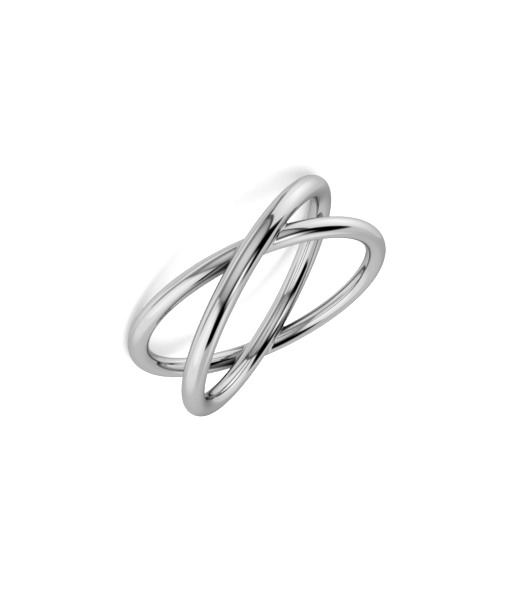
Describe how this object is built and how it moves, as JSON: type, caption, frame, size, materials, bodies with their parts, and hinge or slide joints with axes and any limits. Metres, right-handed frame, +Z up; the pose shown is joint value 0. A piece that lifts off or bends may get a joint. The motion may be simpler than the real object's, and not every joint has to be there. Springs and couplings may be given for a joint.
{
  "type": "crossover finger ring",
  "caption": "Crossover finger ring: oval hoops of round polished steel wire lie at opposite tilts and are soldered where they cross, at the front and at the back of the finger.",
  "frame": {"origin": "on the table under the middle of the ring, which lies on its side", "axes": "+Z up, along the finger hole; -Y towards the front crossing; X across, towards the open ends of the hoops"},
  "size_m": [0.0208, 0.0216, 0.0077],
  "materials": {
    "polished_steel": "mirror-polished stainless steel"
  },
  "bodies": {
    "root": {"crossed_band": "polished_steel"}
  },
  "joints": []
}
